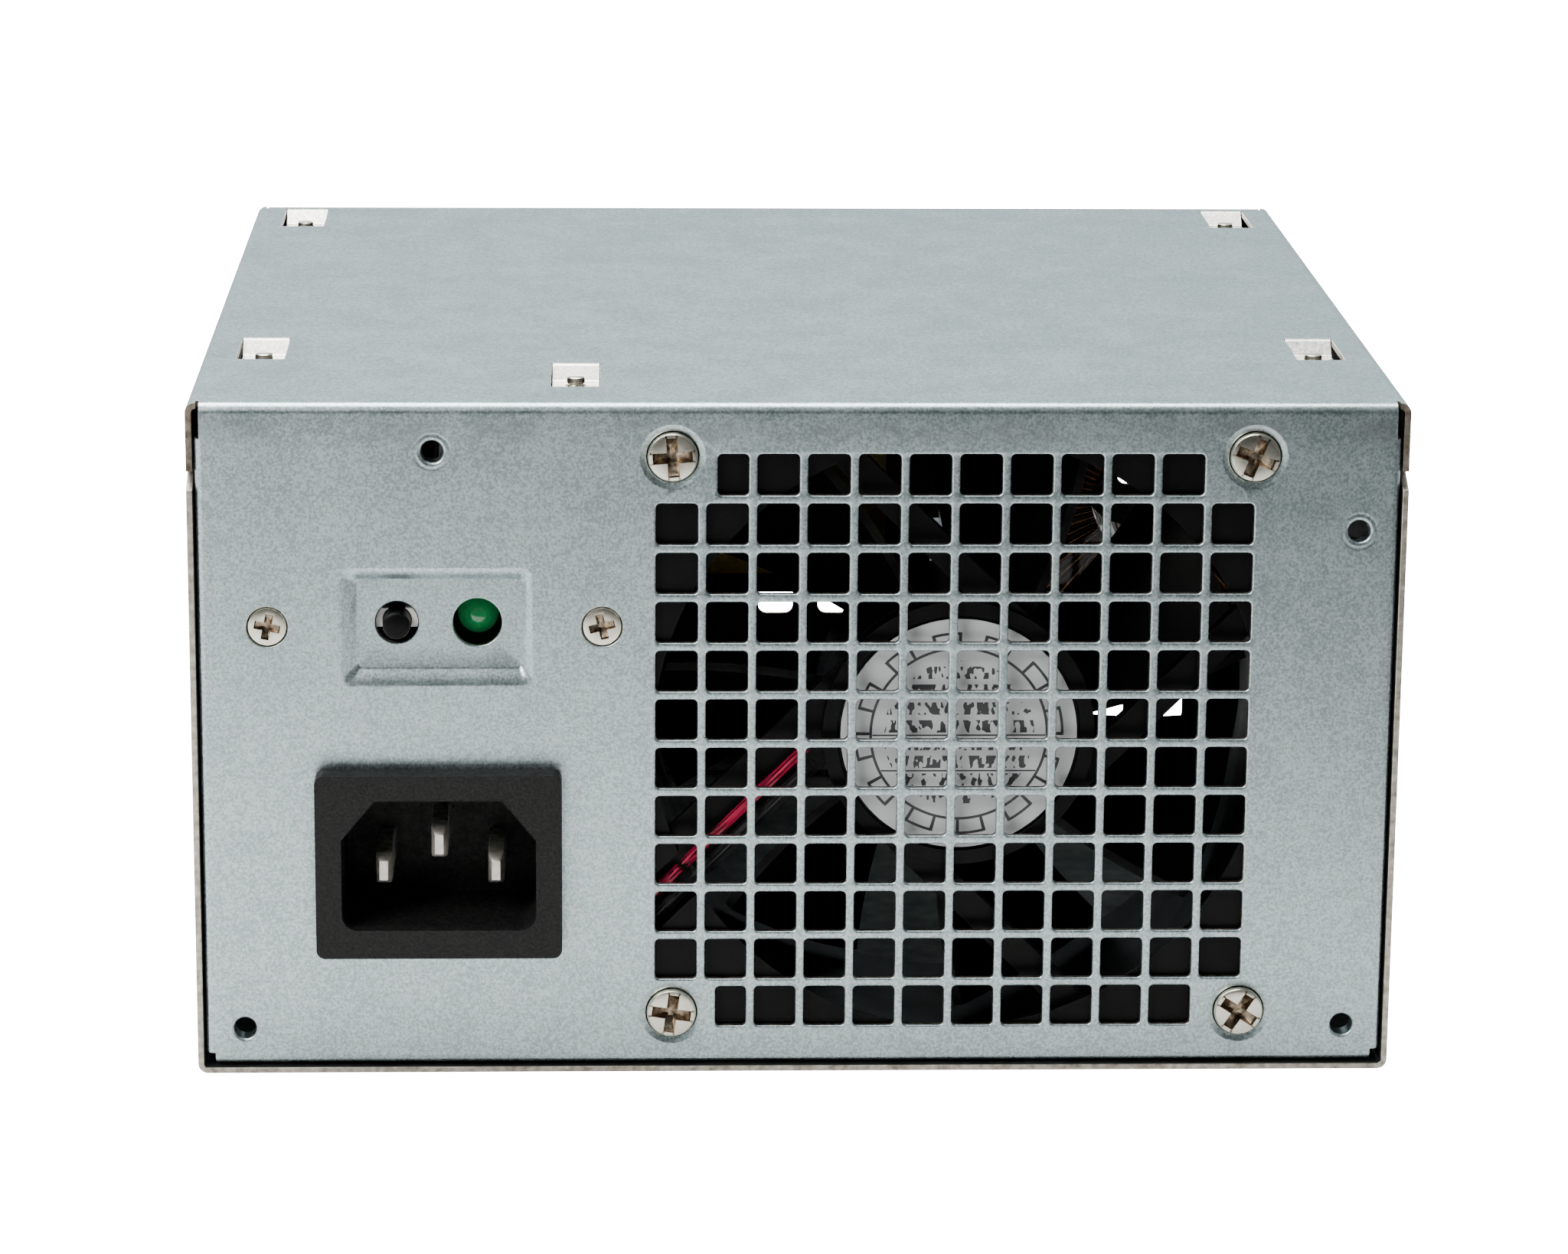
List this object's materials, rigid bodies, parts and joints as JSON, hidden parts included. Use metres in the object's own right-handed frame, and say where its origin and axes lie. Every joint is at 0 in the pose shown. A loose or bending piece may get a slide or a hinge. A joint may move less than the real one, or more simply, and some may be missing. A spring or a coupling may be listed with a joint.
{
  "type": "computer power supply",
  "caption": "Desktop computer power supply in a folded steel case with a finger-guard grille, cooling fan, mains inlet, test button and status lamp.",
  "frame": {"origin": "bottom centre of the whole unit's box: middle of the cover's outer face, halfway between the inlet's flange and the cable bushing's flange", "axes": "+X to the right along the connector face as seen from outside it, +Y from the connector face to the cable end, +Z from the cover to the tray"},
  "size_m": [0.15, 0.147, 0.086],
  "materials": {
    "galvanised_steel": "galvanised, fine mottle",
    "nickel": "nickel plated",
    "plain_steel": "ground",
    "aluminium": "extruded, satin",
    "black_plastic": "fine texture",
    "white_plastic": "moulded",
    "label_paper": "satin",
    "fibreglass": "phenolic board",
    "ferrite": "sintered",
    "yellow_tape": "polyester tape",
    "copper_wire": "enamelled copper",
    "sleeve": "shrink sleeve",
    "green_lens": "tinted, clear",
    "red_wire": "insulation",
    "brown_wire": "insulation",
    "blue_wire": "insulation",
    "green_wire": "insulation",
    "clear_film": "polyester film"
  },
  "bodies": {
    "case": {"chassis": "galvanised_steel", "cover": "galvanised_steel", "status_bracket": "galvanised_steel", "fan_frame": "black_plastic", "fan_label": "label_paper", "fan_bearing": "plain_steel", "fan_circuit_board": "fibreglass", "fan_stator": "plain_steel", "fan_lead_red": "red_wire", "fan_lead_black": "black_plastic", "fan_plug": "white_plastic", "inlet_housing": "black_plastic", "line_pin": "nickel", "neutral_pin": "nickel", "earth_pin": "nickel", "line_lead": "brown_wire", "neutral_lead": "blue_wire", "earth_lead": "green_wire", "status_board": "fibreglass", "switch_body": "black_plastic", "status_led": "green_lens", "status_lead": "black_plastic", "main_board": "fibreglass", "insulating_film": "clear_film", "mains_capacitor": "yellow_tape", "main_transformer_core": "ferrite", "main_transformer_winding": "yellow_tape", "standby_transformer": "ferrite", "output_inductor_core": "yellow_tape", "output_inductor_winding": "copper_wire", "mains_choke": "copper_wire", "primary_heatsink": "aluminium", "secondary_heatsink": "aluminium", "power_transistors": "black_plastic", "output_rectifiers": "black_plastic", "mains_fuse": "white_plastic", "bridge_rectifier": "black_plastic", "control_board": "fibreglass", "cable_bushing": "black_plastic", "bulk_capacitors": "sleeve", "output_capacitors": "sleeve", "fan_screw_1": "nickel", "cover_screw_1": "nickel", "fan_screw_2": "nickel", "cover_screw_2": "nickel", "fan_screw_3": "nickel", "cover_screw_3": "nickel", "fan_screw_4": "nickel", "cover_screw_4": "nickel", "board_screw_1": "nickel", "board_screw_2": "nickel", "board_screw_3": "nickel", "board_screw_4": "nickel", "board_screw_5": "nickel", "bracket_screw_1": "nickel", "bracket_screw_2": "nickel"},
    "rotor": {"fan_rotor": "black_plastic", "fan_magnet": "ferrite", "fan_shaft": "plain_steel"},
    "button": {"test_button": "black_plastic"}
  },
  "joints": [
    {"name": "rotor_spin", "type": "hinge", "parent": "case", "child": "rotor", "pos_m": [0.02015, -0.0545, 0.0436], "axis": [0, 1, 0], "continuous": true},
    {"name": "button_press", "type": "slide", "parent": "case", "child": "button", "axis": [0, 1, 0], "range_m": [0, 0.0005], "stiffness_N_per_m": 200, "springref_m": -0.002}
  ]
}
